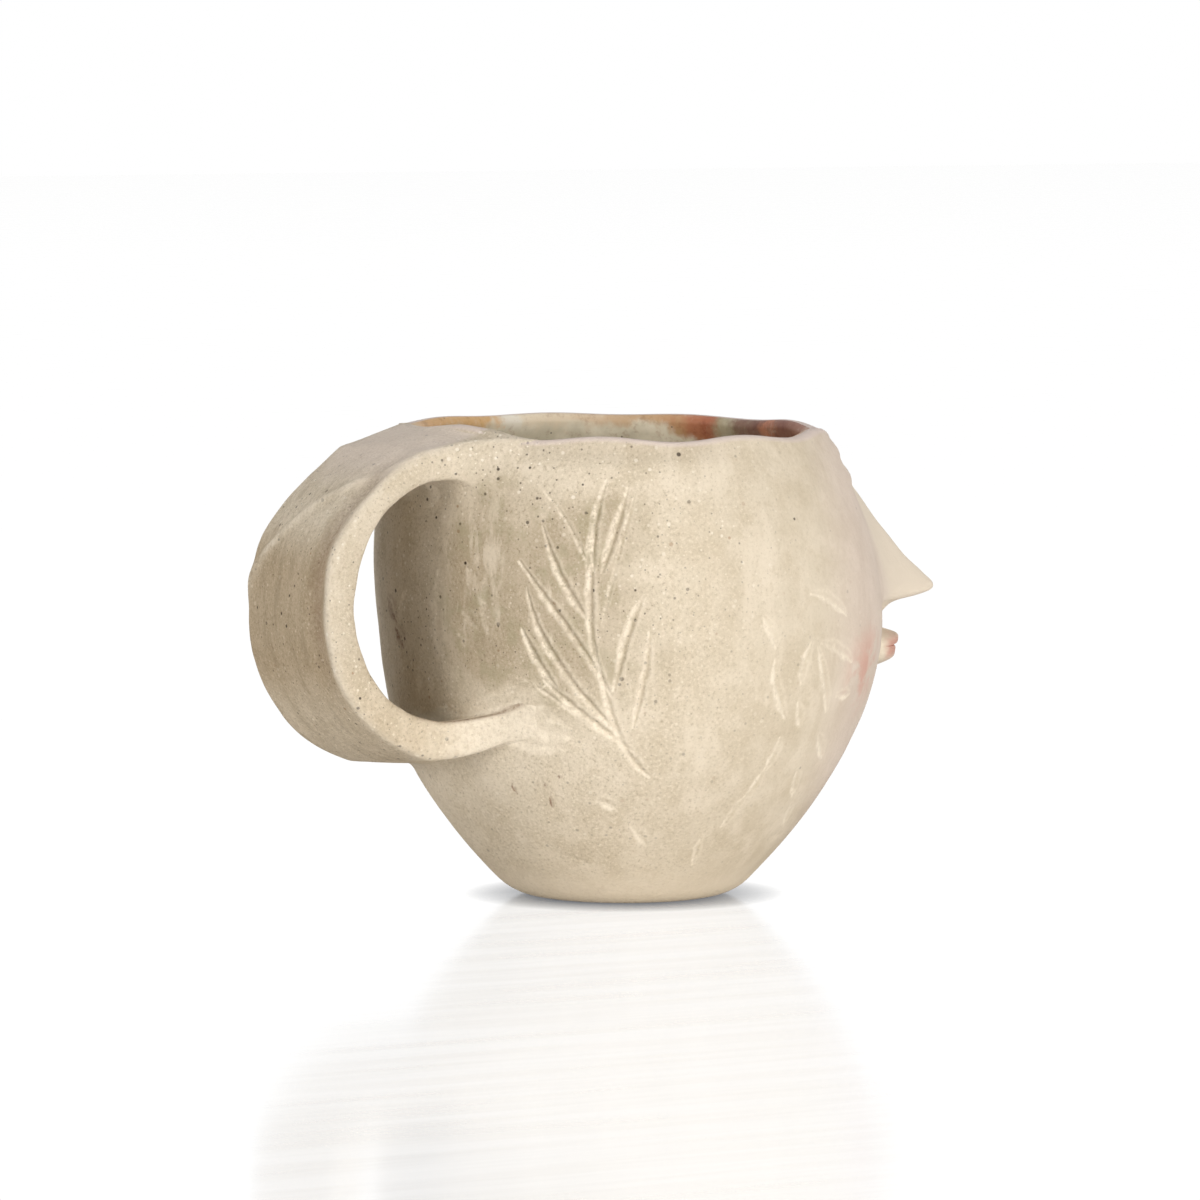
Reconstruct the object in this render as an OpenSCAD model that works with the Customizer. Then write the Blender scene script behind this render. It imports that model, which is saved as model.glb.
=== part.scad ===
// Hand-pinched stoneware mug: a round cup with a wide strap handle and a face made of
// a pointed nose and pouting lips. Clay pieces are luted on with a thin layer of slip.
// Millimetres. z = 0 is the table, the handle lies along -X and the face looks along +X.

/* [Cup] */
// Height of the rim above the table
body_height = 90; // [75:0.5:110]
// Width across the flat foot
foot_diameter = 41.5; // [34:0.5:52]
// Width at the widest part
belly_diameter = 97; // [88:0.5:110]
// Height of the widest part
belly_height = 57; // [50:0.5:62]
// Outside width at the rim
rim_diameter = 81; // [72:0.5:88]
// Thickness of the floor disc
floor_thickness = 5; // [4:0.1:7]
// Thickness of the pinched wall
wall_thickness = 4.6; // [3.6:0.1:6]
// Thickness of the lip
lip_thickness = 3.6; // [2.6:0.1:4.6]
// Thickness of the glaze coat inside
glaze_thickness = 0.5; // [0.3:0.1:0.8]

/* [Hand shaping] */
// How far the belly is pushed towards the face
belly_push = 1.5; // [0:0.1:2]
// How far the upper wall leans back over the handle
rim_lean = 5; // [0:0.1:6]
// Height of the finger waves along the rim
rim_wave = 0.5; // [0:0.1:0.8]
// How much one side of the rim stands higher
rim_tilt = 0.5; // [0:0.1:1]

/* [Handle] */
// Width of the strap
strap_width = 33.5; // [22:0.5:38]
// Thickness of the strap at its middle
strap_thickness = 6.1; // [4.5:0.1:7]
// How much thicker the strap is at its ends
strap_swell = 1.2; // [0:0.1:2]
// Distance from the cup's axis to the middle of the strap where it reaches furthest
strap_reach = 69.8; // [66:0.5:78]
// Height of that furthest place
strap_reach_height = 57; // [54:0.5:61]
// Distance of the strap's upper end below the rim
strap_drop = 5.4; // [5:0.1:8]
// Height of the strap's lower end
strap_low = 30.5; // [28:0.1:36]
// How far the strap's back edge hangs lower than its front edge
strap_sag = 2.8; // [0:0.1:3]
// Size of the clay coils worked into the corners of the loop
coil_leg = 3.2; // [2:0.1:5]

/* [Face] */
// Turn of the face from straight opposite the handle
face_turn = -8; // [-15:1:15]
// Height of the line between the lips
mouth_height = 46; // [42:0.1:52]
// Width of the mouth
mouth_width = 21; // [14:0.5:28]
// How far the lips stand out from the wall
lip_pout = 7; // [4:0.1:10]
// Height of each lip
lip_height = 3.7; // [3:0.1:4.8]
// Space between the upper lip and the nose
philtrum = 2.15; // [1:0.05:4]
// Height of the nose's underside, from its lower edge up to its tip
nose_under = 5; // [3:0.1:8]
// Distance of the nose's bridge below the rim
bridge_drop = 5; // [3:0.1:12]
// How far the tip stands out from the wall
nose_length = 16; // [8:0.5:22]
// Width across the nostrils
nose_width = 18; // [12:0.5:24]

/* [Hidden] */

// Layer of slip between two pieces of clay
slip = 0.15;
// Thinnest edge of a piece that is smoothed onto the wall
feather = 0.4;
foot_radius = foot_diameter / 2;
belly_radius = belly_diameter / 2;
rim_radius = rim_diameter / 2;
// Powers that bend the wall below and above the belly
lower_bend = 2.2;
upper_bend = 2;
// Where the push and the lean of the wall begin and end, as parts of the cup's height
push_span = [0.25, 0.55];
lean_span = [0.51, 1.11];
// Finger waves around the rim, the angle of one wave's crest, and the angle of the rim's high side
rim_lobes = 9;
crest_angle = -82;
high_angle = 110;
// The glaze stops this far below the rim
glaze_drop = 2.2;
// Facets around the cup, and rows of points up each side of the wall
around = 60;
outer_rows = 17;
inner_rows = 15;
lip_steps = 4;

clay = [0.70, 0.61, 0.50];
pale_clay = [0.78, 0.70, 0.60];
rose_clay = [0.66, 0.36, 0.30];
olive_glaze = [0.42, 0.41, 0.30];

// Smooth step from 0 to 1 while a value goes from low to high
function ease(value, low, high) =
    let (t = min(1, max(0, (value - low) / (high - low))))
    t * t * (3 - 2 * t);

function mix(a, b, t) = a + (b - a) * t;

// Evenly spaced values from a to b
function steps(a, b, count) = [for (i = [0 : count]) mix(a, b, i / count)];

function reverse(list) = [for (i = [len(list) - 1 : -1 : 0]) list[i]];

// Outside radius of the cup at a height
function cup_radius(z) =
    z < belly_height
    ? belly_radius - (belly_radius - foot_radius) * pow(1 - z / belly_height, lower_bend)
    : belly_radius - (belly_radius - rim_radius)
        * pow((z - belly_height) / (body_height - belly_height), upper_bend);

// Sideways place of the cup's centre at a height
function cup_shift(z) =
    belly_push * ease(z, push_span[0] * body_height, push_span[1] * body_height)
    - rim_lean * ease(z, lean_span[0] * body_height, lean_span[1] * body_height);

// Thickness of the wall, measured level, at a height
function wall_level(z) =
    let (
        step = 0.01,
        slope = (cup_radius(z + step) - cup_radius(z - step)) / (2 * step),
        thickness = mix(wall_thickness, lip_thickness, ease(z, belly_height, body_height))
    )
    thickness * sqrt(1 + slope * slope);

// Height of the rim at an angle
function rim_height(angle) =
    body_height + rim_tilt * cos(angle - high_angle)
    + rim_wave * cos(rim_lobes * (angle - crest_angle));

// Point at an angle and a height, out from the cup's outside
function at_cup(angle, z, out) =
    let (r = cup_radius(z) + out)
    [cup_shift(z) + r * cos(angle), r * sin(angle), z];

// Point straight behind the cup on the handle's side
function behind_cup(y, z, out) =
    let (r = cup_radius(z) + slip)
    [cup_shift(z) - sqrt(r * r - y * y) - out, y, z];

// Point on the face, across from its middle line, out from the wall
function on_face(across, z, out) =
    let (
        r = cup_radius(z) + slip,
        ahead = sqrt(r * r - across * across) + out
    )
    [
        cup_shift(z) + ahead * cos(face_turn) - across * sin(face_turn),
        ahead * sin(face_turn) + across * cos(face_turn),
        z
    ];

// Two triangles of a four-sided patch
function patch(a, b, c, d) = [[a, b, c], [a, c, d]];

function flatten(lists) = [for (list = lists) each list];

// Triangles between two neighbouring rings of count points
function band(from, to, count) = flatten([
    for (i = [0 : count - 1])
    let (next = (i + 1) % count)
    patch(from + i, to + i, to + next, from + next)
]);

// Triangles that close a ring whose second half runs back beside its first half
function lid(from, count) = flatten([
    for (i = [0 : count / 2 - 2])
    patch(from + i, from + i + 1, from + count - 2 - i, from + count - 1 - i)
]);

// Solid through a list of rings, closed by a lid at each end
module skin(rings) {
    count = len(rings[0]);
    last = (len(rings) - 1) * count;
    bands = flatten([for (k = [0 : len(rings) - 2]) band(k * count, (k + 1) * count, count)]);
    end_lid = [for (face = lid(last, count)) reverse(face)];
    polyhedron(flatten(rings), concat(lid(0, count), bands, end_lid));
}

// Solid through a list of rings, with the last ring joined to the first
module closed_skin(rings) {
    count = len(rings[0]);
    total = len(rings);
    bands = flatten([
        for (k = [0 : total - 1])
        band(k * count, ((k + 1) % total) * count, count)
    ]);
    polyhedron(flatten(rings), bands);
}

angles = [for (i = [0 : around - 1]) 360 * i / around];

// Ring around the cup at a share of the wall's height, on its outside or inside
function wall_ring(share, inward) = [
    for (angle = angles)
    let (
        top = rim_height(angle) - lip_thickness / 2,
        z = mix(floor_thickness, top, share)
    )
    at_cup(angle, z, -inward * wall_level(z))
];

// Ring around the rounded lip, from its outside at turn 0 to its inside at turn 180
function lip_ring(turn) = [
    for (angle = angles)
    let (
        z = rim_height(angle) - lip_thickness / 2,
        half = wall_level(z) / 2,
        side = at_cup(angle, z, half * (cos(turn) - 1))
    )
    side + [0, 0, lip_thickness / 2 * sin(turn)]
];

// Flat disc that the mug stands on, with its side sloped like the wall above it
module floor_disc() {
    color(clay)
    cylinder(h = floor_thickness, r1 = foot_radius, r2 = cup_radius(floor_thickness), $fn = 96);
}

// Pinched wall with a wavy rounded lip
module body() {
    outside = [for (share = steps(0, 1, outer_rows)) wall_ring(share, 0)];
    lip = [for (k = [1 : lip_steps - 1]) lip_ring(180 * k / lip_steps)];
    inside = [for (share = steps(1, 0, inner_rows)) wall_ring(share, 1)];
    color(clay)
    closed_skin(concat(outside, lip, inside));
}

// Ring of the glaze coat: its outside lies on the wall's inside
function glaze_ring(share, depth) = [
    for (angle = angles)
    let (
        top = rim_height(angle) - lip_thickness / 2 - glaze_drop,
        z = mix(floor_thickness, top, share)
    )
    at_cup(angle, z, -wall_level(z) - slip - depth) + [0, 0, depth * (1 - share)]
];

// Coat of gloss glaze over the inside of the wall and the floor
module glaze_lining() {
    outside = [for (share = steps(0, 1, inner_rows)) glaze_ring(share, 0)];
    inside = [for (share = steps(1, 0, inner_rows)) glaze_ring(share, glaze_thickness)];
    color(olive_glaze)
    skin(concat(outside, inside));
}

strap_high = body_height - strap_drop;
// Share of a quarter's size that its bends reach along, a little squarer than a circle
strap_bend = 0.56;
strap_rings = 14;
strap_columns = 9;
// Soft rounding of the strap's long edges
edge_round = 1.6;
// Power that spreads the swelling along the strap
swell_bend = 1.5;
// Place along the strap of its first free ring, clear of the wall
strap_first = 0.08;

// Middle of the strap where it meets the wall
upper_root = behind_cup(0, strap_high, 0);
lower_root = behind_cup(0, strap_low, 0);
strap_far = [-strap_reach, 0, strap_reach_height];

// Point on a bend between two ends that leaves along X and arrives along Z
function bend_point(root, far, t) =
    let (
        a = [mix(root.x, far.x, strap_bend), 0, root.z],
        b = [far.x, 0, mix(far.z, root.z, strap_bend)],
        s = 1 - t
    )
    s * s * s * root + 3 * s * s * t * a + 3 * s * t * t * b + t * t * t * far;

// Middle line of the strap: 0 is its upper end, 1 its furthest place, 2 its lower end
function strap_line(t) =
    t <= 1 ? bend_point(upper_root, strap_far, t) : bend_point(lower_root, strap_far, 2 - t);

function strap_half(t) = strap_thickness / 2 + strap_swell / 2 * pow(abs(t - 1), swell_bend);

// Places across the strap, closer together towards its edges
strap_across = [
    for (i = [0 : strap_columns - 1])
    strap_width / 2 * sin(mix(-90, 90, i / (strap_columns - 1)))
];

// Sideways place on the strap, with the sag towards its back edge
function across_strap(y) = [0, y, -strap_sag * y / strap_width];

// Half thickness at a place across the strap, thinner at its rounded edges
function edge_half(half, y) =
    let (past = max(0, abs(y) - strap_width / 2 + edge_round))
    half - edge_round + sqrt(edge_round * edge_round - past * past);

// Direction out of the loop at a place along the strap
function strap_out(t) =
    let (
        step = 0.01,
        along = strap_line(t + step) - strap_line(t - step)
    )
    [along.z, 0, -along.x] / norm(along);

// Point on the strap's face; face is 1 outside the loop and -1 inside it
function strap_point(t, y, face) =
    strap_line(t) + across_strap(y) + face * strap_out(t) * edge_half(strap_half(t), y);

// Ring around the strap, its outer face first
function strap_ring(t) = concat(
    [for (y = strap_across) strap_point(t, y, 1)],
    [for (y = reverse(strap_across)) strap_point(t, y, -1)]
);

// Height of the strap's face where it meets the wall; up is 1 for its upper face and -1 for its lower
function foot_height(z, y, up) = z + across_strap(y).z + up * edge_half(strap_half(0), y);

// Ring where the strap sits on the wall, its outer face first; up says which way that face looks
function strap_foot(z, up) = concat(
    [for (y = strap_across) behind_cup(y, foot_height(z, y, up), 0)],
    [for (y = reverse(strap_across)) behind_cup(y, foot_height(z, y, -up), 0)]
);

// Wide strap bent into a loop from the rim to the lower wall
module handle_strap() {
    middle = [for (t = steps(strap_first, 2 - strap_first, 2 * strap_rings)) strap_ring(t)];
    color(pale_clay)
    skin(concat([strap_foot(strap_high, 1)], middle, [strap_foot(strap_low, -1)]));
}

coil_columns = 6;

// Ring of a corner coil at a place across the handle, its hollow front first.
// up is 1 for the coil over the strap's lower end and -1 for the one under its upper end.
function coil_ring(y, root_z, t, up) =
    let (
        lift = [0, 0, up],
        corner_z = foot_height(root_z, y, up) + up * slip,
        corner = behind_cup(y, corner_z, 0),
        foot = behind_cup(y, corner_z + up * coil_leg, 0),
        tip = strap_point(t, y, -1) + slip * lift,
        front = [foot - [feather, 0, 0], corner + feather * (lift - [1, 0, 0]), tip + feather * lift],
        half = coil_columns / 2
    )
    concat(
        [
            for (k = steps(0, 1, coil_columns))
            mix(mix(front[0], front[1], k), mix(front[1], front[2], k), k)
        ],
        [for (k = [0 : half]) mix(tip, corner, k / half)],
        [for (k = [1 : half]) mix(corner, foot, k / half)]
    );

// Coil of clay worked into the corner under the strap's upper end
module upper_joint() {
    color(clay)
    skin([for (y = strap_across) coil_ring(y, strap_high, strap_first, -1)]);
}

// Coil of clay worked into the corner over the strap's lower end
module lower_joint() {
    color(pale_clay)
    skin([for (y = reverse(strap_across)) coil_ring(y, strap_low, 2 - strap_first, 1)]);
}

nose_low_height = mouth_height + slip + lip_height + philtrum;
nose_tip_height = nose_low_height + nose_under;
nose_top_height = body_height - bridge_drop;
nose_low_rings = 6;
nose_high_rings = 14;
nose_columns = 13;
// Width of the bridge as a share of the nose's full width
bridge_share = 0.4;
// Width of the nose's lower edge as a share of its full width
under_share = 0.6;
// Powers that bend the nose's ridge, its underside and its sides
ridge_bend = 1.4;
under_bend = 1;
side_bend = 1.1;

function nose_out(z) =
    z < nose_tip_height
    ? nose_length * pow((z - nose_low_height) / (nose_tip_height - nose_low_height), under_bend)
    : nose_length * pow((nose_top_height - z) / (nose_top_height - nose_tip_height), ridge_bend);

function nose_half(z) =
    nose_width / 2 * (
        z < nose_tip_height
        ? mix(under_share, 1, sin(90 * (z - nose_low_height) / (nose_tip_height - nose_low_height)))
        : mix(1, bridge_share, (z - nose_tip_height) / (nose_top_height - nose_tip_height))
    );

// Level ring around the nose, its front first
function nose_ring(z) =
    let (places = steps(-1, 1, nose_columns - 1))
    concat(
        [
            for (k = places)
            on_face(k * nose_half(z), z, feather + nose_out(z) * pow(cos(90 * k), side_bend))
        ],
        [for (k = reverse(places)) on_face(k * nose_half(z), z, 0)]
    );

// Pointed nose with a straight ridge and a short underside
module nose() {
    levels = concat(
        steps(nose_low_height, nose_tip_height, nose_low_rings),
        [for (i = [1 : nose_high_rings]) mix(nose_tip_height, nose_top_height, i / nose_high_rings)]
    );
    color(clay)
    skin([for (z = levels) nose_ring(z)]);
}

mouth_steps = 16;
mouth_columns = 8;
// How full a lip is: a low power gives a blunt front
lip_blunt = 0.3;
// Part of the pout and height that is left at the corners of the mouth
corner_share = 0.12;

function mouth_swell(across) =
    mix(corner_share, 1, sqrt(max(0, 1 - pow(2 * across / mouth_width, 2))));

// Upright ring around a lip; side is 1 above the mouth and -1 below it
function lip_section(across, side) =
    let (
        swell = mouth_swell(across),
        base = mouth_height + side * slip,
        rises = steps(0, lip_height * swell, mouth_columns)
    )
    concat(
        [
            for (k = [0 : mouth_columns])
            let (front = pow(sin(180 * k / mouth_columns), lip_blunt))
            on_face(across, base + side * rises[k], feather + lip_pout * swell * front)
        ],
        [for (rise = reverse(rises)) on_face(across, base + side * rise, 0)]
    );

module mouth_lip(side) {
    rings = [
        for (across = steps(-mouth_width / 2, mouth_width / 2, mouth_steps))
        lip_section(across, side)
    ];
    skin(side > 0 ? reverse(rings) : rings);
}

// Upper lip, pushed out in a pout
module upper_lip() {
    color(rose_clay)
    mouth_lip(1);
}

// Lower lip under it
module lower_lip() {
    color(rose_clay)
    mouth_lip(-1);
}

floor_disc();
body();
handle_strap();
upper_joint();
lower_joint();
nose();
upper_lip();
lower_lip();
glaze_lining();
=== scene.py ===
from math import asin, atan2, copysign, cos, hypot, pi, radians, sin, sqrt

import bmesh
import bpy
from mathutils import Matrix, Vector, noise


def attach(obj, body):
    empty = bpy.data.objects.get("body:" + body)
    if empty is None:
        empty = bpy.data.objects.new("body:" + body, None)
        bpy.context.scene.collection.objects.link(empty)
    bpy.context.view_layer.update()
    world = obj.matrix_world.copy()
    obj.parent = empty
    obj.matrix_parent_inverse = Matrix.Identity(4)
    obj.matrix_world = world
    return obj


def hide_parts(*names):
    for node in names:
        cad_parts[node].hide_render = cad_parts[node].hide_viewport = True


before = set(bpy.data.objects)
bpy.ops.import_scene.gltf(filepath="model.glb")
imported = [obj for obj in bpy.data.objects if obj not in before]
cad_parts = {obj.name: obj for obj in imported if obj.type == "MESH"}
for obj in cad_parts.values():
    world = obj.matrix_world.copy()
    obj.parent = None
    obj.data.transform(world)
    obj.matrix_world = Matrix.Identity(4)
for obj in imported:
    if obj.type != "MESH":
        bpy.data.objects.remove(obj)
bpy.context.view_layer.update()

MM = 0.001

# Cup, with the sizes of the solids
BODY_HEIGHT = 90 * MM
FOOT_RADIUS = 20.75 * MM
BELLY_RADIUS = 48.5 * MM
BELLY_HEIGHT = 57 * MM
RIM_RADIUS = 40.5 * MM
FLOOR_THICKNESS = 5 * MM
WALL_THICKNESS = 4.6 * MM
LIP_THICKNESS = 3.6 * MM
GLAZE_THICKNESS = 0.5 * MM
SLIP = 0.15 * MM
LOWER_BEND = 2.2
UPPER_BEND = 2
BELLY_PUSH = 1.5 * MM
RIM_LEAN = 5 * MM
PUSH_SPAN = (0.25 * BODY_HEIGHT, 0.55 * BODY_HEIGHT)
LEAN_SPAN = (0.51 * BODY_HEIGHT, 1.11 * BODY_HEIGHT)
RIM_TILT = 0.5 * MM
RIM_WAVE = 0.5 * MM
RIM_LOBES = 9
RIM_MOUND = 1.3 * MM
MOUND_ANGLE = radians(-170)
MOUND_HALF = radians(32)
CREST_ANGLE = radians(-82)
HIGH_ANGLE = radians(110)
# Share of the rim's wave that is left on the far side, and where the near side begins and ends
FAR_WAVE = 0.35
NEAR_SIDE = (-0.6, 0.4)
# Height over which the dents fade out towards the foot
FOOT_SMOOTH = 5 * MM

# Strap handle
STRAP_WIDTH = 33.5 * MM
STRAP_THICKNESS = 6.1 * MM
STRAP_SWELL = 1.2 * MM
SWELL_BEND = 1.5
STRAP_REACH = 69.8 * MM
STRAP_REACH_HEIGHT = 57 * MM
STRAP_HIGH = 84.6 * MM
STRAP_LOW = 30.5 * MM
STRAP_SAG = 2.8 * MM
STRAP_BEND = 0.56
STRAP_FIRST = 0.16
FOOT_CROWDING = 1.7
EDGE_ROUND = 1.6 * MM

# Face
FACE_ANGLE = radians(-8)
MOUTH_HEIGHT = 46 * MM
MOUTH_WIDTH = 21 * MM
NOSE_TIP = 57 * MM
NOSE_TOP = 85 * MM
NOSE_WIDTH = 18 * MM
UPPER_LIP_POUT = 6.9 * MM
UPPER_LIP_HEIGHT = 3.1 * MM
LOWER_LIP_POUT = 6.6 * MM
LOWER_LIP_HEIGHT = 4.2 * MM

# Finger dents in the clay: size of the dents and how far they press in or out
WALL_DENTS = ((17 * MM, 0.30 * MM), (6 * MM, 0.10 * MM), (2.2 * MM, 0.03 * MM))
NOSE_DENTS = ((6 * MM, 0.2 * MM), (2.5 * MM, 0.06 * MM))
STRAP_DENTS = ((13 * MM, 0.45 * MM), (5 * MM, 0.16 * MM), (2 * MM, 0.05 * MM))


def ease(value, low, high):
    """Smooth step from 0 to 1 while a value goes from low to high."""
    t = min(1.0, max(0.0, (value - low) / (high - low)))
    return t * t * (3 - 2 * t)


def mix(a, b, t):
    return a + (b - a) * t


def hump(value, half):
    """1 at 0, falling smoothly to 0 at half on either side."""
    return ease(1 - abs(value) / half, 0, 1)


def signed_power(value, power):
    return copysign(abs(value) ** power, value)


def dents(place, sizes):
    """How far the clay stands out or in at a place, from soft noise of several sizes."""
    return sum(depth * noise.noise(place / size) for size, depth in sizes)


def cup_radius(z):
    """Outside radius of the cup at a height."""
    if z < BELLY_HEIGHT:
        below = max(0.0, 1 - z / BELLY_HEIGHT)
        return BELLY_RADIUS - (BELLY_RADIUS - FOOT_RADIUS) * below ** LOWER_BEND
    above = (z - BELLY_HEIGHT) / (BODY_HEIGHT - BELLY_HEIGHT)
    return BELLY_RADIUS - (BELLY_RADIUS - RIM_RADIUS) * above ** UPPER_BEND


def cup_shift(z):
    """Sideways place of the cup's centre at a height."""
    return BELLY_PUSH * ease(z, *PUSH_SPAN) - RIM_LEAN * ease(z, *LEAN_SPAN)


def wall_level(z):
    """Thickness of the wall, measured level, at a height."""
    step = 0.01 * MM
    slope = (cup_radius(z + step) - cup_radius(z - step)) / (2 * step)
    thickness = mix(WALL_THICKNESS, LIP_THICKNESS, ease(z, BELLY_HEIGHT, BODY_HEIGHT))
    return thickness * sqrt(1 + slope * slope)


def turn_between(a, b):
    """Turn from angle b to angle a, between minus and plus half a circle."""
    return (a - b + pi) % (2 * pi) - pi


def rim_height(angle):
    """Height of the waving rim, which mounds up over the handle and waves less on the far side."""
    wave = RIM_WAVE * mix(FAR_WAVE, 1, ease(-sin(angle), *NEAR_SIDE))
    return (
        BODY_HEIGHT
        + RIM_TILT * cos(angle - HIGH_ANGLE)
        + wave * cos(RIM_LOBES * (angle - CREST_ANGLE))
        + RIM_MOUND * hump(turn_between(angle, MOUND_ANGLE), MOUND_HALF)
    )


# Soft brow rolls beside the bridge: turn from the face, height, half width, half height, how far out
BROWS = (
    (radians(-23), 85.5 * MM, radians(16), 2.6 * MM, 0.55 * MM),
    (radians(-23), 80.8 * MM, radians(16), 2.8 * MM, 0.65 * MM),
    (radians(23), 85.0 * MM, radians(16), 2.6 * MM, 0.55 * MM),
    (radians(23), 80.5 * MM, radians(16), 2.8 * MM, 0.65 * MM),
)

# Shallow groove pressed under the lip above the sprig
SPRIG_ANGLE = radians(-118)
LIP_GROOVE = 0.8 * MM
GROOVE_HEIGHT = 87 * MM
GROOVE_TALL = 3 * MM
GROOVE_HALF = radians(38)


def skin_radius(angle, z):
    """Radius of the pinched wall's outside, with its finger dents, pressed groove and brow rolls."""
    around = Vector((cos(angle) * BELLY_RADIUS, sin(angle) * BELLY_RADIUS, z))
    radius = cup_radius(z) + dents(around, WALL_DENTS) * ease(z, 0, FOOT_SMOOTH)
    groove = LIP_GROOVE * hump(z - GROOVE_HEIGHT, GROOVE_TALL)
    radius -= groove * hump(turn_between(angle, SPRIG_ANGLE), GROOVE_HALF)
    for turn, height, half_turn, half_height, out in BROWS:
        across = turn_between(angle, FACE_ANGLE + turn)
        radius += out * hump(across, half_turn) * hump(z - height, half_height)
    return radius


def wall_behind(y, z):
    """X of the wall's outside on the handle's side."""
    radius = cup_radius(z)
    radius = skin_radius(pi - asin(y / radius), z)
    return cup_shift(z) - sqrt(radius * radius - y * y)


def on_face(across, z, out):
    """Point across from the face's middle line, out from the wall."""
    radius = cup_radius(z)
    turn = asin(across / radius)
    radius = skin_radius(FACE_ANGLE + turn, z)
    ahead = sqrt(radius * radius - across * across) + out
    return Vector((
        cup_shift(z) + ahead * cos(FACE_ANGLE) - across * sin(FACE_ANGLE),
        ahead * sin(FACE_ANGLE) + across * cos(FACE_ANGLE),
        z,
    ))


# Making pieces

SHARP_TURN = radians(50)
# Vertices closer than this are one
MERGE_GAP = 0.005 * MM
FINE_MERGE_GAP = 0.002 * MM


def add_object(name, data):
    """Object of a mesh, lamp or camera in the scene."""
    made = bpy.data.objects.new(name, data)
    bpy.context.scene.collection.objects.link(made)
    return made


def add_aimed(name, data, place, target):
    """Lamp or camera at a place, looking at a target."""
    made = add_object(name, data)
    made.location = place
    made.rotation_euler = (target - made.location).to_track_quat("-Z", "Y").to_euler()
    return made


def add_mesh(name, bm, material):
    """Object of a finished mesh, in its material."""
    mesh = bpy.data.meshes.new(name)
    bm.to_mesh(mesh)
    bm.free()
    mesh.materials.append(material)
    return add_object(name, mesh)


def add_piece(name, bm, material, slot, *nodes):
    """Turns a mesh into a piece that rides on the mug and stands for its CAD nodes."""
    bmesh.ops.recalc_face_normals(bm, faces=bm.faces)
    if bm.calc_volume(signed=True) < 0:
        bmesh.ops.reverse_faces(bm, faces=bm.faces)
    for edge in bm.edges:
        edge.smooth = edge.calc_face_angle(0) < SHARP_TURN
    piece = add_mesh(name, bm, material)
    piece.data.shade_smooth()
    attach(piece, "root")
    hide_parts(*nodes)


def spun(profile, steps, closed):
    """Shell of a profile of (radius, height) places turned around the upright axis."""
    bm = bmesh.new()
    verts = [bm.verts.new((radius, 0, height)) for radius, height in profile]
    edges = [bm.edges.new(pair) for pair in zip(verts, verts[1:])]
    if closed:
        edges.append(bm.edges.new((verts[-1], verts[0])))
    bmesh.ops.spin(
        bm, geom=verts + edges, cent=(0, 0, 0), axis=(0, 0, 1),
        angle=2 * pi, steps=steps, use_merge=True,
    )
    bmesh.ops.remove_doubles(bm, verts=bm.verts, dist=MERGE_GAP)
    return bm


def slab(columns, rows):
    """Closed thin block over a unit square: its front at z = 1 and its back at z = 0."""
    bm = bmesh.new()
    bmesh.ops.create_grid(bm, x_segments=columns, y_segments=rows, size=0.5)
    bmesh.ops.translate(bm, verts=bm.verts, vec=(0.5, 0.5, 0))
    front = bmesh.ops.extrude_face_region(bm, geom=bm.faces[:])["geom"]
    raised = [item for item in front if isinstance(item, bmesh.types.BMVert)]
    bmesh.ops.translate(bm, verts=raised, vec=(0, 0, 1))
    return bm


# Marks cut and scratched into the wall.
# A mark bends through three places. Each has a distance round the wall from the sprig's angle, and a height,
# in millimetres.
MARK_RADIUS = 47 * MM
SPRIG = (
    (-3, 82, -6, 74, -7, 66), (-6.5, 71, -8.5, 57, -7.5, 47.5), (-8, 52, -3.5, 35.5, 3.5, 27),
    (-16, 73.5, -13, 64, -8.5, 56), (-21, 67, -13.5, 56, -5, 42.5), (-20, 62, -15, 48.5, -2, 34),
    (-21.5, 54.5, -19, 49, -15.5, 44), (-17.5, 45, -10.5, 39, -0.5, 32),
    (1, 80.5, -2.5, 72.5, -5.5, 65.5), (1.5, 61, -2, 53.5, -4.5, 43.5), (2, 54, 1, 46.5, -0.5, 36.5),
)
FINE_LINES = (
    (-16.5, 81, -11.5, 75, -8, 66.5), (-21.5, 45, -15.5, 41.5, -8, 36), (3.5, 82, -1.5, 70.5, -6.5, 55.5),
    (-2.5, 47.5, -2, 42, -2, 38), (-4, 81, -7, 73, -8.5, 62),
)
SCRATCHES = (
    (36, 60.5, 41, 59, 45.5, 56), (24, 56.5, 25.5, 54, 26.5, 51), (26.5, 48, 27.5, 43.5, 31, 37.5),
    (35, 51, 33.5, 47, 33.5, 44), (37, 50, 40, 44, 43, 38), (38, 51, 43, 49.5, 48, 47),
    (45.5, 40.5, 47.5, 40.5, 50, 40.5), (31.5, 33, 31.5, 30.5, 30.5, 27.5),
    (30.5, 27.5, 29, 24, 27.5, 22), (43.5, 33, 46, 31, 49, 28.5), (41, 26.5, 42.5, 24, 44, 21.5),
    (27.5, 22, 26, 19.5, 24.5, 16.5), (19.5, 14, 19.5, 11.5, 20, 9), (45.5, 19.5, 47, 17.5, 49.5, 15),
    (34, 39.5, 35, 37.5, 36, 35.5), (-50, 60, -51.5, 58.5, -53.5, 56.5), (-8, 22, -5.5, 21.5, -3.5, 20.5),
    (0.5, 16.5, 2.5, 15, 4.5, 13),
)
JOINT_SMEARS = (
    (-31, 39.5, -24, 39.5, -17, 38), (-30, 36.5, -22, 36.5, -14, 35), (-27, 34, -21, 34, -15, 32.5),
)
SMEAR_LINES = (
    (-30, 39.5, -24, 41, -18, 44), (-30, 38, -22, 38.5, -13, 36.5), (-28, 35, -20, 35.5, -10, 32.5),
    (-25, 40, -20, 40.5, -15, 40),
)
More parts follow.
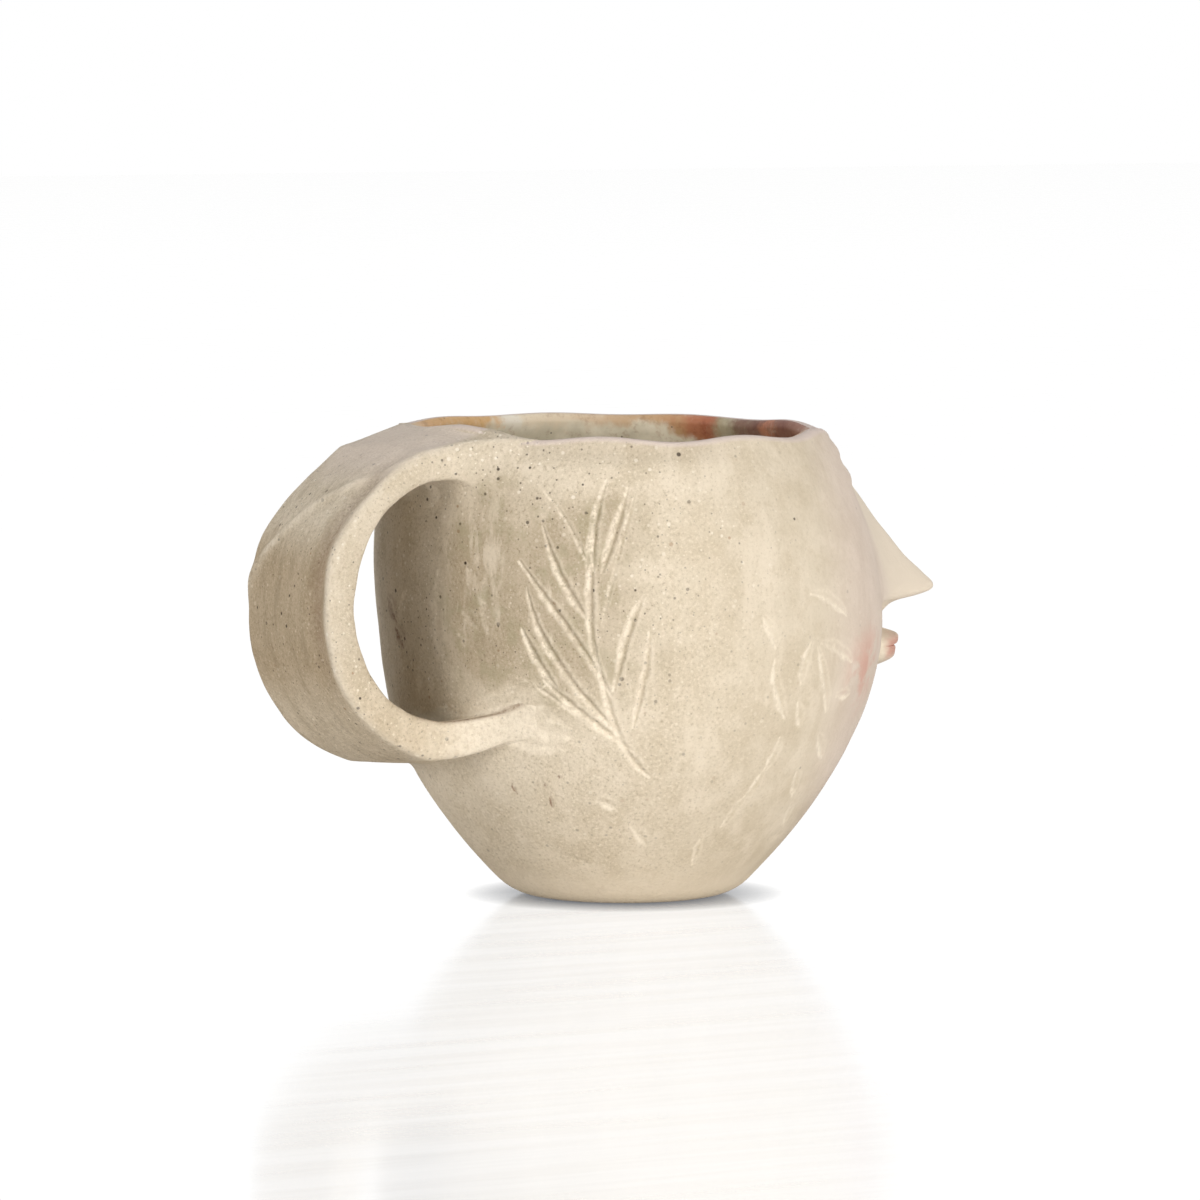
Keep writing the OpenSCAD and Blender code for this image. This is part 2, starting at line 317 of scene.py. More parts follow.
BRUSHED = (
    (-39.5, 64, -40.5, 57, -41, 49), (-28, 64, -28.5, 59, -28.5, 54), (-33.5, 57, -32.5, 56, -31.5, 55),
    (-35, 53, -34, 52.5, -33, 51.5), (-47.5, 45, -47.5, 43, -47, 41),
)
STAINS = (
    (-58.5, 58, -57.5, 57, -55.5, 54.5), (-55.5, 52.5, -54.5, 51.5, -53.5, 50),
)
DARK_DASHES = (
    (-27, 24.5, -27, 24, -26.5, 23), (-19, 25, -19, 24.8, -19, 24.6),
    (-18.5, 22.5, -18.5, 21.5, -18.5, 20.5), (-15.5, 26.8, -15.5, 26.6, -15.5, 26.4),
    (-33.5, 85, -33, 85.5, -32.5, 86),
)
# Marks, width and depth of the cut (raised where it is less than 0), how pale or dark it is (pale clay with a
# painted highlight on the cut's lit flank) and how broken it is, and cuts that refine the wall under it
MARK_GROUPS = (
    (SPRIG, 1.3 * MM, 0.55 * MM, 0.95, 0.45, 4),
    (FINE_LINES, 0.7 * MM, 0.22 * MM, 0.8, 0.6, 4),
    (SCRATCHES, 1.5 * MM, 0.14 * MM, 0.95, 0.45, 3),
    (JOINT_SMEARS, 3.6 * MM, -0.05 * MM, 0.9, 0.5, 2),
    (SMEAR_LINES, 1.2 * MM, -0.06 * MM, 0.7, 0.7, 3),
    (BRUSHED, 2.2 * MM, 0.05 * MM, 0.45, 0.6, 2),
    (STAINS, 2.2 * MM, 0.1 * MM, -0.85, 0.45, 3),
    (DARK_DASHES, 0.6 * MM, 0.1 * MM, -1.0, 0.0, 4),
)
MARK_STEPS = 20
# The far flank of a cut is steeper than its near flank, with a burr of clay beyond it
STEEP_SHARE = 0.5
BURR_SHARE = 0.3
WANDER = 0.2 * MM
COARSE_TEAR = 2.2 * MM
FINE_TEAR = 0.7 * MM
# How far a mark reaches, against its width, and how far beyond it the wall is refined
MARK_REACH = 2.4
REFINED_MARGIN = 0.8 * MM
# Faces smaller than this aren't cut again
REFINED_AREA = 0.5 * MM * MM


def bent_line(bend):
    """Places on the bend through three places, as (round, up) in metres."""
    places = []
    for k in range(MARK_STEPS + 1):
        t = k / MARK_STEPS
        weights = ((1 - t) * (1 - 2 * t), 4 * t * (1 - t), t * (2 * t - 1))
        place = [sum(w * p for w, p in zip(weights, bend[axis::2])) for axis in range(2)]
        places.append(Vector(place) * MM)
    return places


class Mark:
    """One cut in the wall."""

    def __init__(self, bend, width, depth, pale, torn):
        self.width = width
        self.depth = depth
        self.pale = pale
        self.torn = torn
        self.places = bent_line(bend)
        reach = MARK_REACH * width
        self.spans = [(min(values) - reach, max(values) + reach) for values in zip(*self.places)]

    def nearest(self, angle, z):
        """(distance, side distance, share of the length) of the nearest place on the cut, or nothing."""
        here = Vector((turn_between(angle, SPRIG_ANGLE) * MARK_RADIUS, z))
        if not all(low < value < high for value, (low, high) in zip(here, self.spans)):
            return None
        best = None
        for k, (a, b) in enumerate(zip(self.places, self.places[1:])):
            along = b - a
            t = min(1.0, max(0.0, (here - a).dot(along) / along.length_squared))
            gap = here - a - along * t
            if best is None or gap.length < best[0]:
                side = gap.dot(Vector((-along.y, along.x))) / along.length
                best = (gap.length, side, (k + t) / MARK_STEPS)
        return best

    def covers(self, angle, z):
        """Whether the wall at a place is refined for the cut."""
        found = self.nearest(angle, z)
        return found is not None and found[0] < self.width + REFINED_MARGIN

    def cut(self, angle, z):
        """(how far the wall goes in, how pale it is) at a place: pale fresh clay, with a painted highlight on
        the lit flank.
        """
        found = self.nearest(angle, z)
        if found is None:
            return 0.0, 0.0
        gap, side, share = found
        here = Vector((angle * MARK_RADIUS, z, self.width))
        coarse = noise.noise(here / COARSE_TEAR)
        fine = noise.noise(here / FINE_TEAR)
        taper = ease(share, -0.05, 0.4) * ease(1 - share, -0.05, 0.25)
        width = self.width * mix(0.4, 1, taper) * (1 + 0.3 * coarse)
        gap = max(0.0, gap + WANDER * fine)
        strength = mix(0.35, 1, taper) * (1 + 0.5 * coarse)
        steep = width * STEEP_SHARE
        near = ease(1 - gap / (width if side < 0 else steep), 0, 1)
        burr = hump(side - 1.6 * steep, 1.2 * steep) * ease(2.2 * steep - gap, -steep, steep)
        into = self.depth * (near - BURR_SHARE * burr * (1 + fine)) * strength
        # Painted highlight on the flank of the cut that faces the lamps
        lit = hump(side + 0.45 * width, 0.7 * width) * ease(1.2 - gap / width, 0, 0.4)
        lit *= 1 - self.torn * ease(-coarse - 0.5 * fine, -0.25, 0.25)
        crumbs = ease(fine, 0.25, 0.5) * hump(gap, 1.6 * width)
        return into, self.pale * max(lit, 0.4 * burr, 0.5 * crumbs)


# Camera: the photograph's azimuth, its distance and the height of its lens
VIEW_AZIMUTH = radians(-30)
VIEW_DISTANCE = 1.4
VIEW_HEIGHT = 0.167
VIEW_AIM = Vector((-0.004, 0.0023, 0.0565))
LENS = 219.8
SENSOR_WIDTH = 36
FURTHEST = 20


def add_camera():
    data = bpy.data.cameras.new("camera")
    data.lens = LENS
    data.sensor_width = SENSOR_WIDTH
    data.sensor_fit = "HORIZONTAL"
    data.clip_end = FURTHEST
    place = (VIEW_DISTANCE * sin(VIEW_AZIMUTH), -VIEW_DISTANCE * cos(VIEW_AZIMUTH), VIEW_HEIGHT)
    bpy.context.scene.camera = add_aimed("camera", data, place, VIEW_AIM)


# Finishes

CLAY_TONE = (0.705, 0.63, 0.51)
CLAY_DUSK = (0.60, 0.52, 0.395)
CLAY_LIGHT = (0.80, 0.72, 0.60)
CLAY_DARK = (0.46, 0.39, 0.29)
PALE_GROG = (0.90, 0.84, 0.74)
IRON_SPECK = (0.09, 0.07, 0.055)
RUST_SPECK = (0.36, 0.21, 0.11)
# Dark dashes and stains; also painted shade in the strap's groove and crease
DARK_DASH_AND_SHADE = (0.20, 0.10, 0.06)
JOINT_GREY_AND_HIGHLIGHT = (0.72, 0.68, 0.58)
STRAP_MAUVE = (0.84, 0.745, 0.69)
STRAP_BROWN = (0.76, 0.70, 0.62)
NOSE_PALE = (0.84, 0.76, 0.635)
# Pale scratched clay; also painted highlights on cut flanks, the strap's crest and its near edge
PALE_SCRATCH_AND_HIGHLIGHT = (0.93, 0.85, 0.72)
RIM_ROSE_AND_HIGHLIGHT = (0.82, 0.71, 0.68)
FACE_WASH = (0.73, 0.62, 0.585)
LIP_SHADE = (0.82, 0.81, 0.80)
HANDLE_SHADE_AND_DUSK = (0.64, 0.60, 0.54)
OLIVE_STAIN = (0.40, 0.36, 0.24)
BLUSH = (0.66, 0.36, 0.29)
LIP_RED = (0.52, 0.15, 0.12)
STRAP_WARM = (0.95, 0.91, 0.85)
GLAZE_OLIVE = (0.72, 0.67, 0.54)
GLAZE_CREAM = (0.94, 0.88, 0.74)
GLAZE_SHADE = (0.55, 0.42, 0.34)
GLAZE_BREAK = (0.9, 0.84, 0.7)
GLAZE_SPECK = (0.09, 0.06, 0.04)
WHITE = (1, 1, 1)
TABLE_PLAIN = (0.92, 0.92, 0.92)
TABLE_SHADE = (0.12, 0.125, 0.13)
CONTACT_SHADE = (0.22, 0.23, 0.25)
CLAY_BUMP = 0.7
CLAY_SHINE = 0.18
GLAZE_BUMP = 0.3
GLAZE_SHINE = 0.25


class Value:
    """A shader socket whose sums and products add Math nodes to its tree."""

    def __init__(self, shading, socket):
        self.shading = shading
        self.socket = socket

    def __add__(self, other):
        return self.shading.math_node("ADD", self, other)

    __radd__ = __add__

    def __sub__(self, other):
        return self.shading.math_node("SUBTRACT", self, other)

    def __rsub__(self, other):
        return self.shading.math_node("SUBTRACT", other, self)

    def __mul__(self, other):
        return self.shading.math_node("MULTIPLY", self, other)

    __rmul__ = __mul__

    def __gt__(self, other):
        return self.shading.math_node("GREATER_THAN", self, other)


class Shading:
    """A tree of shader nodes."""

    def __init__(self, tree):
        self.tree = tree

    def node(self, kind, settings, inputs, output=0):
        node = self.tree.nodes.new(kind)
        for key, value in settings.items():
            if key == "stops":
                self.set_stops(node.color_ramp, value)
            else:
                setattr(node, key, value)
        for key, value in inputs.items():
            self.join(node.inputs[key], value)
        return Value(self, node.outputs[output])

    def math_node(self, operation, first, second):
        return self.node("ShaderNodeMath", {"operation": operation}, {0: first, 1: second})

    def set_stops(self, ramp, stops):
        while len(ramp.elements) < len(stops):
            ramp.elements.new(1)
        for element, (position, colour) in zip(ramp.elements, stops):
            element.position = position
            element.color = (*colour, 1)

    def join(self, socket, value):
        if isinstance(value, Value):
            self.tree.links.new(value.socket, socket)
        elif socket.type == "RGBA":
            socket.default_value = (*value, 1)
        else:
            socket.default_value = value

    def between(self, value, low, high):
        """Smooth step of a value from low to high; either may be the larger."""
        turned = low > high
        step = self.node(
            "ShaderNodeMapRange", {"interpolation_type": "SMOOTHSTEP"},
            {0: value, 1: min(low, high), 2: max(low, high)},
        )
        return 1 - step if turned else step

    def blend(self, share, first, second, mode="MIX"):
        """Colour between two colours."""
        return self.node(
            "ShaderNodeMix", {"data_type": "RGBA", "blend_type": mode, "clamp_factor": True},
            {0: share, 6: first, 7: second}, 2,
        )


class Finish(Shading):
    """A material with its colour so far and the nodes that make it, measured in millimetres."""

    def __init__(self, name, colour):
        self.material = bpy.data.materials.new(name)
        self.material.use_nodes = True
        super().__init__(self.material.node_tree)
        self.shader = self.tree.nodes["Principled BSDF"]
        self.place = self.node("ShaderNodeTexCoord", {}, {}, "Object")
        self.x, self.y, self.z = (
            self.node("ShaderNodeSeparateXYZ", {}, {0: self.place}, axis) * (1 / MM) for axis in range(3)
        )
        self.colour = colour
        self.height = 0.0

    def lay(self, share, tone, mode="MIX"):
        """Lays a share of a tone over the colour so far."""
        self.colour = self.blend(share, self.colour, tone, mode)

    def finished(self, rough, shine, strength, depth):
        """The material, with its colour, roughness, shine and bumps fed to its shader."""
        relief = {"Strength": strength, "Distance": depth * MM, "Height": self.height}
        bump = self.node("ShaderNodeBump", {}, relief)
        feeds = {"Base Color": self.colour, "Roughness": rough, "Specular IOR Level": shine, "Normal": bump}
        for name, value in feeds.items():
            self.join(self.shader.inputs[name], value)
        return self.material

    def stretched(self, scale, turn=0.0):
        """Places with each direction scaled, to draw a pattern out along one of them."""
        return self.node(
            "ShaderNodeMapping", {}, {"Vector": self.place, "Rotation": (0, 0, turn), "Scale": scale}
        )

    def cloud(self, size, detail=2.0, rough=0.5, at=None):
        """Soft noise from 0 to 1 with blotches of a size."""
        return self.node(
            "ShaderNodeTexNoise", {},
            {"Vector": at or self.place, "Scale": 1 / (size * MM), "Detail": detail, "Roughness": rough},
        )

    def specks(self, spacing, radius, chance):
        """Round specks: one in some of the cells of a mesh of cells."""
        cells = {"Vector": self.place, "Scale": 1 / (spacing * MM)}
        distance = self.node("ShaderNodeTexVoronoi", {}, cells, "Distance")
        colour = self.node("ShaderNodeTexVoronoi", {}, cells, "Color")
        draw = self.node("ShaderNodeSeparateColor", {}, {0: colour}, 0)
        size = self.node("ShaderNodeSeparateColor", {}, {0: colour}, 1)
        edge = radius / spacing
        return self.between(distance - size * (0.5 * edge), edge, 0.4 * edge) * (draw > 1 - chance)

    def carried(self, name):
        """Number that a piece carries on its vertices under a name."""
        return self.node("ShaderNodeAttribute", {"attribute_name": name}, {}, "Fac")

    def ball(self, centre, radius):
        """1 at a point of the scene, falling smoothly to 0 at a distance from it."""
        away = self.node(
            "ShaderNodeVectorMath", {"operation": "DISTANCE"}, {0: self.place, 1: centre}, "Value"
        )
        return self.between(away * (1 / MM), radius, 0)


def stoneware(name):
    """Matte sandy clay with clouds, sand, iron specks and grog, coarser towards the handle."""
    clay = Finish(name, CLAY_TONE)
    coarse = clay.between(clay.x, 25, -30)
    clay.lay(clay.between(clay.cloud(14, 4, 0.6), 0.4, 0.66) * 0.7, CLAY_DUSK)
    clay.lay(clay.between(clay.cloud(6, 4, 0.65), 0.47, 0.66) * 0.7, CLAY_LIGHT)
    clay.lay(clay.between(clay.cloud(3, 3, 0.65), 0.5, 0.66) * 0.5, CLAY_DUSK)
    streaks = clay.cloud(5, 3, 0.55, clay.stretched((1, 1, 0.16)))
    clay.lay(clay.between(streaks, 0.54, 0.72) * 0.6, CLAY_LIGHT)
    clay.lay(clay.between(streaks, 0.46, 0.28) * 0.5, CLAY_DUSK)
    sand = clay.cloud(0.6, 3, 0.75)
    grit = 0.2 + coarse * 0.75
    clay.lay(clay.between(sand, 0.5, 0.68) * grit, CLAY_LIGHT)
    clay.lay(clay.between(sand, 0.47, 0.27) * grit, CLAY_DARK)
    low = clay.between(clay.z, 62, 30) * clay.between(clay.x, -50, -42)
    crowd = clay.between(clay.cloud(22, 1), 0.4, 0.65) * 0.3 + coarse * 0.7
    crowd = crowd * (1 - low * 0.6)
    clay.lay(clay.specks(1.1, 0.18, 0.4) * crowd, PALE_GROG)
    clay.lay(clay.specks(1.2, 0.17, 0.4) * crowd * 0.8, IRON_SPECK)
    clay.lay(clay.specks(1.9, 0.33, 0.3) * crowd, PALE_GROG)
    clay.lay(clay.specks(2.2, 0.30, 0.3) * crowd, IRON_SPECK)
    clay.lay(clay.specks(5.7, 0.36, 0.4) * (0.9 - low * 0.5), IRON_SPECK)
    clay.lay(clay.specks(3.7, 0.34, 0.35) * crowd * 0.8, RUST_SPECK)
    clay.height = sand * grit + clay.cloud(1.7, 3) * 0.9
    return clay


def fired(clay, depth):
    """The clay's material, with bumps of a depth."""
    return clay.finished(clay.cloud(3, 2) * 0.2 + 0.72, CLAY_SHINE, CLAY_BUMP, depth)


def add_tints(clay):
    """Pale and dark places that a piece carries on its vertices: scratches, smears, stains and dashes, with
    painted highlights on lit flanks and edges and painted shade in the strap's groove and crease.
    """
    grain = clay.between(clay.cloud(0.9, 3, 0.7), 0.36, 0.58) * 0.6 + 0.4
    # Pale scratched clay, and painted highlights on lit cut flanks and the strap's crest and near edge
    clay.lay(clay.carried("pale") * grain, PALE_SCRATCH_AND_HIGHLIGHT)
    # Dark stains and dashes, and painted shade in the strap's groove and the crease at its lower joint
    clay.lay(clay.carried("dark") * grain, DARK_DASH_AND_SHADE)


def add_handle_shade_and_dusk(clay):
    """Dusky, brushed patch of wall that the handle shelters: darker, stained clay with painted shade where
    the handle shades the wall.
    """
    drift = (clay.cloud(12, 2) - 0.5) * 18
    shade_and_dusk = clay.between(clay.x + drift, -14, -32) * clay.between(clay.x, -51, -47)
    shade_and_dusk = shade_and_dusk * clay.between(clay.z + drift, 36, 50) * clay.between(clay.z + drift, 86, 70)
    shade_and_dusk = shade_and_dusk * (clay.between(clay.y, -6, -17) * 0.9 + 0.1)
    shade_and_dusk = shade_and_dusk * (1 - clay.between(clay.y, -18, -28) * 0.15)
    # Painted shade behind and beside the handle, on top of the clay's darker tone there
    clay.lay(shade_and_dusk * 0.95, HANDLE_SHADE_AND_DUSK, "MULTIPLY")
    stains = clay.cloud(7, 5, 0.65)
    clay.lay(clay.between(stains, 0.46, 0.62) * shade_and_dusk * 0.6, OLIVE_STAIN)
    brushed = clay.cloud(5, 5, 0.65, clay.stretched((1, 1, 0.35)))
    clay.lay(clay.between(brushed, 0.54, 0.66) * shade_and_dusk * 0.55, CLAY_LIGHT)


def ahead(clay):
    """How far a place lies ahead along the face's direction."""
    return clay.x * cos(FACE_ANGLE) + clay.y * sin(FACE_ANGLE)


# Cheeks: turn from the face, drop below the mouth's middle, and radius in millimetres
CHEEK_TURN = radians(41)
CHEEK_DROP = 1 * MM
CHEEK_SIZE = 12


def add_rose(clay):
    """The face's faint pink wash and its rubbed cheeks."""
    clay.lay(clay.between(ahead(clay), 20, 36) * 0.5, FACE_WASH)
    rubbed = clay.between(clay.cloud(5, 3, 0.6), 0.36, 0.58)
    for turn in (-CHEEK_TURN, CHEEK_TURN):
        angle = FACE_ANGLE + turn
        cheek = Vector((cos(angle), sin(angle), 0)) * BELLY_RADIUS
        cheek.z = MOUTH_HEIGHT - CHEEK_DROP
        clay.lay(clay.ball(cheek, CHEEK_SIZE) * rubbed * 0.7, BLUSH)


def body_finish():
    clay = stoneware("body_clay")
    add_handle_shade_and_dusk(clay)
    add_rose(clay)
    add_tints(clay)
    # Painted shade on the wall just under the lip on the near side
    under = clay.between(clay.z, 84, 87.5) * clay.between(clay.y, -18, -30)
    clay.lay(under * clay.between(clay.x, 4, -8) * 0.75, LIP_SHADE, "MULTIPLY")
    clay.lay(clay.between(clay.z, 10, 3) * 0.6, CLAY_LIGHT)
    # Rose tint on the lip, which also stands in for a painted highlight along the rim
    clay.lay(clay.carried("rim") * 0.7, RIM_ROSE_AND_HIGHLIGHT)
    return fired(clay, 0.25)


def foot_finish():
    clay = stoneware("foot_clay")
    clay.lay(0.2, CLAY_DUSK)
    return fired(clay, 0.3)


def nose_finish():
    clay = stoneware("nose_clay")
    add_rose(clay)
    # Painted highlight: the standing part of the nose is painted paler, as if more strongly lit
    clay.lay(clay.carried("worked") * 0.75, NOSE_PALE)
    return fired(clay, 0.2)


def strap_finish():
    clay = stoneware("strap_clay")
    outer = clay.between(clay.y, -15.6, -13.6) * clay.between(clay.x, -46, -54)
    smears = clay.cloud(4, 3, 0.6, clay.stretched((0.6, 1.6, 0.3)))
    clay.lay(clay.between(smears, 0.48, 0.68) * outer * 0.5, CLAY_DARK)
    clay.lay(clay.between(smears, 0.45, 0.25) * outer * 0.35, CLAY_LIGHT)
    grains = clay.cloud(0.5, 3, 0.8)
    clay.lay(clay.between(grains, 0.5, 0.66) * outer * 0.5, CLAY_DARK)
    clay.lay(clay.between(grains, 0.46, 0.3) * outer * 0.5, CLAY_LIGHT)
    top = clay.between(clay.y, -17, -14) * clay.between(clay.y, 18, 12)
    clay.lay(top * clay.between(clay.z, 79, 87) * 0.55, STRAP_MAUVE)
    brown = clay.between(clay.z, 36, 48) * clay.between(clay.z, 76, 64)
    clay.lay(brown * outer, STRAP_BROWN, "MULTIPLY")
    warm = clay.between(clay.z, 54, 36) * clay.between(clay.x, -38, -47)
    clay.lay(warm * 0.8, STRAP_WARM, "MULTIPLY")
    add_handle_shade_and_dusk(clay)
    add_tints(clay)
    return fired(clay, 0.38)


def joint_finish(share):
    clay = stoneware("joint_clay")
    add_handle_shade_and_dusk(clay)
    # Grey smeared clay, lightened as a painted highlight where the coil faces up into the light
    clay.lay(clay.carried("worked") * share, JOINT_GREY_AND_HIGHLIGHT)
    return fired(clay, 0.35)


def lip_finish():
    clay = stoneware("lip_clay")
    worn = clay.cloud(2.5, 3, 0.6) * 2.4 - 1.2
    above = clay.z + worn - MOUTH_HEIGHT / MM
    front = clay.between(ahead(clay) + worn, 49.6, 52.4)
    middle = clay.between(above, -3, 0) * clay.between(above, 3.8, 1.5)
    clay.lay(0.7, NOSE_PALE)
    clay.lay(front * middle * 0.6, LIP_RED)
    return fired(clay, 0.2)


# Glaze colours round the rim: angle in degrees and colour
GLAZE_ROUND = (
    (-180, (0.60, 0.42, 0.24)), (-60, (0.55, 0.38, 0.22)), (-30, (0.42, 0.22, 0.15)),
    (-12, (0.30, 0.13, 0.09)), (1, (0.22, 0.08, 0.055)), (6, (0.52, 0.20, 0.11)),
    (11, (0.19, 0.08, 0.06)), (18, (0.21, 0.11, 0.08)), (22, (0.46, 0.41, 0.29)),
    (25, (0.42, 0.35, 0.23)), (29, (0.42, 0.13, 0.065)), (37, (0.50, 0.19, 0.09)),
    (44, (0.60, 0.38, 0.20)), (60, (0.66, 0.47, 0.30)), (72, (0.82, 0.69, 0.52)),
    (87, (0.88, 0.77, 0.60)), (90, (0.92, 0.87, 0.76)), (94, (0.92, 0.87, 0.76)),
    (98, (0.74, 0.47, 0.22)), (130, (0.68, 0.41, 0.18)), (150, (0.66, 0.52, 0.35)),
    (180, (0.60, 0.42, 0.24)),
)


def glaze_finish():
    """Gloss olive glaze that breaks to cream, ochre and rust towards the rim."""
    glaze = Finish("glaze", GLAZE_OLIVE)
    glaze.lay(glaze.between(glaze.cloud(9, 4, 0.6), 0.4, 0.65), GLAZE_CREAM)
    runs = glaze.cloud(6, 4, 0.6, glaze.stretched((1, 1, 0.4))) - 0.5
    blots = glaze.cloud(2.5, 3, 0.6) - 0.5
    angle = glaze.math_node("ARCTAN2", glaze.y, glaze.x - cup_shift(BODY_HEIGHT) / MM)
    share = angle * (0.5 / pi) + 0.5 + runs * 0.05 + blots * 0.02
    stops = [((degrees + 180) / 360, colour) for degrees, colour in GLAZE_ROUND]
    rim = glaze.node("ShaderNodeValToRGB", {"stops": stops}, {0: share})
    deep = glaze.between(glaze.x, 22, 31) * 3
    height = glaze.z + runs * 5 + blots * 3 + deep
    glaze.lay(glaze.between(height, 87, 89.4) * 0.95, rim)
    broken = glaze.cloud(3, 4, 0.7)
    glaze.lay(glaze.between(broken, 0.5, 0.68) * 0.45, GLAZE_SHADE, "MULTIPLY")
    glaze.lay(glaze.between(broken, 0.46, 0.3) * 0.22, GLAZE_BREAK)
    glaze.lay(glaze.specks(2.6, 0.22, 0.3) * 0.7, GLAZE_SPECK)
    glaze.height = glaze.cloud(5, 2)
    return glaze.finished(glaze.between(glaze.z, 70, 88) * 0.35 + 0.15, GLAZE_SHINE, GLAZE_BUMP, 0.3)


# Pieces

BODY_STEPS = 252
BODY_ROWS = 86
LIP_STEPS = 8
INNER_ROWS = 30
FOOT_SLOPE = radians(45)
FOOT_ROUND = 11 * MM
FOOT_GAP = 0.1 * MM
FOOT_LIFT = FOOT_GAP + FOOT_ROUND * (1 - cos(FOOT_SLOPE))
FOOT_STEPS = 6
FOOT_BAND = 1.2 * MM
# Share of the wall, from its outside, that follows the pinched skin
SKIN_SHARE = 0.3
# The lip's rosy band, which is also a painted highlight along the rim's top, fades in between these depths
# below the rim
RIM_BAND_LOW = 1.1 * MM
RIM_BAND_HIGH = 0.3 * MM


def foot_edge():
    """Radius where the rounded foot leaves the table."""
    return cup_radius(FOOT_LIFT) - FOOT_ROUND * sin(FOOT_SLOPE)


LIP_Z = BODY_HEIGHT - LIP_THICKNESS / 2
LIP_HALF = wall_level(LIP_Z) / 2


def lip_place(turn, lift):
    """(radius, height) on the rounded lip, turned from its outside and lifted off it."""
    return (
        cup_radius(LIP_Z) - LIP_HALF + (LIP_HALF + lift) * cos(turn),
        LIP_Z + (LIP_THICKNESS / 2 + lift) * sin(turn),
    )


def heights(first, last, rows):
    return [mix(first, last, row / rows) for row in range(rows + 1)]


def waved(place):
    """(angle, height, distance out from the wall's outside) of a place, with its height on the waving rim."""
    angle = atan2(place.y, place.x)
    outward = hypot(place.x, place.y) - cup_radius(place.z)
    return angle, place.z * rim_height(angle) / BODY_HEIGHT, outward


def on_cup(angle, z, radius):
    return Vector((cup_shift(z) + radius * cos(angle), radius * sin(angle), z))


def body_profile():
    """Closed profile of the wall: outside, rounded lip, inside, and the foot's rounded edge."""
    profile = [(cup_radius(z), z) for z in heights(FOOT_LIFT, LIP_Z, BODY_ROWS)]
    profile += [lip_place(pi * step / LIP_STEPS, 0) for step in range(1, LIP_STEPS)]
    profile += [(cup_radius(z) - wall_level(z), z) for z in heights(LIP_Z, FLOOR_THICKNESS, INNER_ROWS)]
    for step in range(FOOT_STEPS):
        turn = FOOT_SLOPE * step / FOOT_STEPS
        profile.append((
            foot_edge() + FOOT_ROUND * sin(turn),
            FOOT_GAP + FOOT_ROUND * (1 - cos(turn)),
        ))
    return profile


def refine(bm, marks, cuts):
    """Cuts up the wall's outer faces under some marks, so that they come out clean."""
    under = set()
    for face in bm.faces:
        middle = face.calc_center_median()
        if face.calc_area() < REFINED_AREA:
            continue
        if hypot(middle.x, middle.y) < cup_radius(middle.z) - WALL_THICKNESS / 2:
            continue
        angle = atan2(middle.y, middle.x)
        if any(mark.covers(angle, middle.z) for mark in marks):
            under.update(face.edges)
    edges = [edge for edge in bm.edges if edge in under]
    bmesh.ops.subdivide_edges(bm, edges=edges, cuts=cuts, use_grid_fill=True)


def body_piece():
    bm = spun(body_profile(), BODY_STEPS, True)
    marks = []
    for bends, width, depth, pale, torn, cuts in MARK_GROUPS:
        group = [Mark(bend, width, depth, pale, torn) for bend in bends]
        refine(bm, group, cuts)
        marks += group
    many_sided = [face for face in bm.faces if len(face.verts) > 4]
    bmesh.ops.triangulate(bm, faces=many_sided, ngon_method="BEAUTY")
    pale_layer = bm.verts.layers.float.new("pale")
    dark_layer = bm.verts.layers.float.new("dark")
    rim_layer = bm.verts.layers.float.new("rim")
    for vert in bm.verts:
        angle, z, outward = waved(vert.co)
        outside = outward > -SKIN_SHARE * WALL_THICKNESS and vert.co.z > FOOT_BAND
        radius = (skin_radius(angle, z) if outside else cup_radius(z)) + outward
        if outside:
            cuts = [mark.cut(angle, z) for mark in marks]
            radius -= max(cut[0] for cut in cuts) + min(cut[0] for cut in cuts)
            # Pale cut clay, with painted highlights on the lit flanks of the cuts
            vert[pale_layer] = max(cut[1] for cut in cuts)
            vert[dark_layer] = -min(cut[1] for cut in cuts)
        vert[rim_layer] = ease(vert.co.z, BODY_HEIGHT - RIM_BAND_LOW, BODY_HEIGHT - RIM_BAND_HIGH)
        vert.co = on_cup(angle, z, radius)
    add_piece("pinched_body", bm, body_finish(), "clay", "body")


FOOT_LAP = 0.3 * MM
FOOT_BEVEL_WIDTH = 0.4 * MM
FOOT_BEVEL_HEIGHT = 0.25 * MM
DISC_RINGS = 8
DISC_STEPS = 96


def floor_piece():
    edge = foot_edge() + FOOT_LAP
    top = cup_radius(FLOOR_THICKNESS) - wall_level(FLOOR_THICKNESS)
    rings = [k / DISC_RINGS for k in range(DISC_RINGS)]
    profile = [(edge * ring, 0.0) for ring in rings]
    profile += [(edge - FOOT_BEVEL_WIDTH, 0.0), (edge, FOOT_BEVEL_HEIGHT), (edge, FOOT_BAND)]
    profile.append((top, FLOOR_THICKNESS))
    profile += [(top * ring, FLOOR_THICKNESS) for ring in reversed(rings)]
    bm = spun(profile, DISC_STEPS, False)
    add_piece("foot_disc", bm, foot_finish(), "clay", "floor_disc")


GLAZE_RISE = 0.12 * MM
# The coat begins on the lip between these turns, in degrees from its outside, and rises to its full height
GLAZE_TURNS = (112, 125, 140, 160)
GLAZE_EDGE = (105, 125)
GLAZE_STEPS = 144
COAT_ROWS = 40
THICKENING_ROWS = 12
# Rounded corner of the inside floor
CORNER_HEIGHT = 5.4 * MM
CORNER_WIDTH = 8 * MM
CORNER_STEPS = 8
FLOOR_RINGS = 6
# The coat's hidden back lies inside the floor and the wall
BACK_ROWS = 20
BACK_SHARE = 0.7
BACK_SUNK = 0.5 * MM
BACK_RADIUS = 14 * MM
BACK_MARGIN = 1 * MM
BACK_TOP = 0.4 * MM


